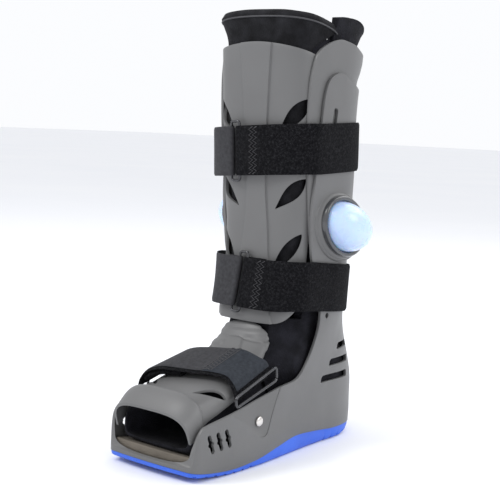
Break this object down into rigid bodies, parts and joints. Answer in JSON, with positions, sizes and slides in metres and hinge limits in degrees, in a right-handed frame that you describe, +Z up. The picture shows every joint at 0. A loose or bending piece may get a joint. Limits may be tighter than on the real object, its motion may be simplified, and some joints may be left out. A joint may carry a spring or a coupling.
{
  "type": "medical walking boot",
  "caption": "Tall orthopaedic walking boot with rigid grey shells, rocker sole, padded liner, wide straps and side air bulbs.",
  "frame": {"origin": "on the ground under the leg, in the middle plane, where the flat of the tread touches", "axes": "+X to the wearer's left, which is the right-hand side for someone who faces the toe, -Y to the toe, +Z up; right and left in node names are as seen facing the toe"},
  "size_m": [0.1868, 0.302, 0.453],
  "materials": {
    "outsole": "moulded, blue",
    "base_shell": "fine grained grey",
    "rear_shell": "fine grained grey",
    "front_shell": "fine grained grey",
    "toe_cover": "fine grained grey",
    "insole": "brown foam board",
    "boot_liner": "black padded knit",
    "front_pad": "black padded knit",
    "calf_strap": "black looped hook-and-loop webbing",
    "calf_strap_anchor": "dark grey webbing",
    "calf_strap_ring": "black wire",
    "ankle_strap": "black looped hook-and-loop webbing",
    "ankle_strap_anchor": "dark grey webbing",
    "ankle_strap_ring": "black wire",
    "foot_strap": "dark grey webbing",
    "foot_ring_right": "gunmetal wire",
    "foot_ring_left": "gunmetal wire",
    "pump_bezel_right": "glossy dark grey",
    "pump_bezel_left": "glossy dark grey",
    "pump_bulb_right": "milky translucent",
    "pump_bulb_left": "milky translucent",
    "side_rivet_right": "polished",
    "side_rivet_left": "polished"
  },
  "bodies": {
    "root": {"outsole": "outsole", "base_shell": "base_shell", "rear_shell": "rear_shell", "front_shell": "front_shell", "toe_cover": "toe_cover", "insole": "insole", "boot_liner": "boot_liner", "front_pad": "front_pad", "calf_strap": "calf_strap", "calf_strap_anchor": "calf_strap_anchor", "calf_strap_ring": "calf_strap_ring", "ankle_strap": "ankle_strap", "ankle_strap_anchor": "ankle_strap_anchor", "ankle_strap_ring": "ankle_strap_ring", "foot_strap": "foot_strap", "foot_ring_right": "foot_ring_right", "foot_ring_left": "foot_ring_left", "pump_bezel_right": "pump_bezel_right", "pump_bezel_left": "pump_bezel_left", "pump_bulb_right": "pump_bulb_right", "pump_bulb_left": "pump_bulb_left", "side_rivet_right": "side_rivet_right", "side_rivet_left": "side_rivet_left"}
  },
  "joints": []
}
